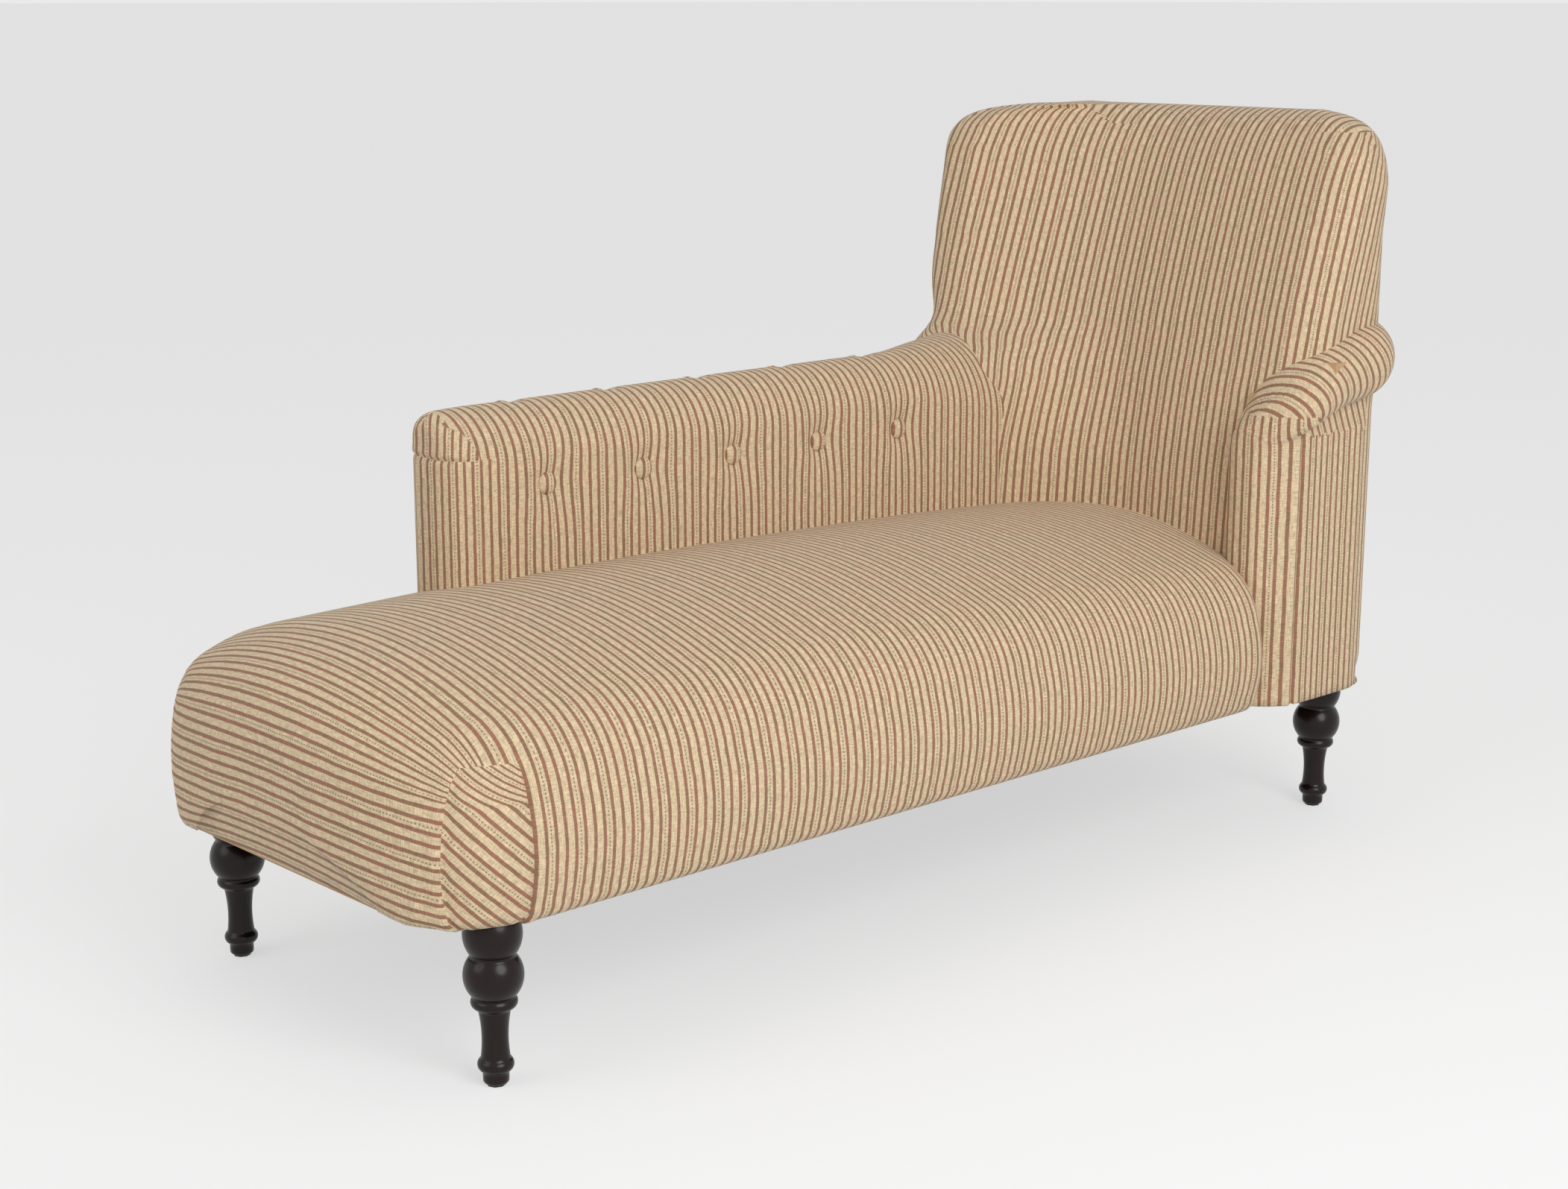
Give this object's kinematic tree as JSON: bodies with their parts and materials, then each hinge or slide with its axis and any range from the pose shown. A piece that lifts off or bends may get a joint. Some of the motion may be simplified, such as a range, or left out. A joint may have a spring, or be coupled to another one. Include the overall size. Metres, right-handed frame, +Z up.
{
  "type": "chaise longue",
  "caption": "Tight-upholstered chaise longue with a leaning back, a long buttoned arm on one side, a short scroll arm on the other and turned legs.",
  "frame": {"origin": "on the floor, under the middle of the whole outline", "axes": "+Z up; +Y from the foot end towards the backrest; +X towards the side with the short scroll arm"},
  "size_m": [0.688, 1.64, 0.986],
  "materials": {
    "cover_fabric": "woven linen-cotton with brown stripes and lines of fine dots, matte",
    "turned_wood": "turned hardwood stained near black, satin lacquer",
    "frame_wood": "sawn beech, unfinished",
    "jute": "woven jute webbing and hessian",
    "felt_pad": "cotton felt over hair padding",
    "black_cambric": "thin black cambric",
    "glide_plastic": "nail-on glide, dark brown nylon"
  },
  "bodies": {
    "root": {"back_crest_rail": "frame_wood", "back_hessian": "jute", "back_middle_slat": "frame_wood", "back_outside_wadding": "felt_pad", "back_pad": "felt_pad", "back_post_left": "frame_wood", "back_post_right": "frame_wood", "back_side_pad_left": "felt_pad", "back_side_pad_right": "felt_pad", "back_tacking_rail": "frame_wood", "back_webbing_crosswise": "jute", "back_webbing_upright": "jute", "back_wing_pad": "felt_pad", "corner_block_foot_left": "frame_wood", "corner_block_foot_right": "frame_wood", "corner_block_rear_left": "frame_wood", "corner_block_rear_right": "frame_wood", "cross_rail_front": "frame_wood", "cross_rail_rear": "frame_wood", "dust_cover": "black_cambric", "inside_back_cover": "cover_fabric", "leg_foot_left": "turned_wood", "leg_foot_right": "turned_wood", "leg_glides": "glide_plastic", "leg_rear_left": "turned_wood", "leg_rear_right": "turned_wood", "long_arm_cover": "cover_fabric", "long_arm_crest_buttons": "cover_fabric", "long_arm_face_buttons": "cover_fabric", "long_arm_outside_panel": "cover_fabric", "long_arm_pad": "felt_pad", "long_arm_post_foot": "frame_wood", "long_arm_post_middle": "frame_wood", "long_arm_post_rear": "frame_wood", "long_arm_tacking_rails": "frame_wood", "long_arm_top_rail": "frame_wood", "outside_back_panel": "cover_fabric", "seat_border_pad_foot": "felt_pad", "seat_border_pad_left": "felt_pad", "seat_border_pad_right": "felt_pad", "seat_cover": "cover_fabric", "seat_hessian": "jute", "seat_pad": "felt_pad", "seat_rail_back": "frame_wood", "seat_rail_foot": "frame_wood", "seat_rail_left": "frame_wood", "seat_rail_right": "frame_wood", "seat_webbing_crosswise": "jute", "seat_webbing_lengthwise": "jute", "short_arm_cover": "cover_fabric", "short_arm_outside_panel": "cover_fabric", "short_arm_pad": "felt_pad", "short_arm_post": "frame_wood", "short_arm_roll_rail": "frame_wood"}
  },
  "joints": []
}
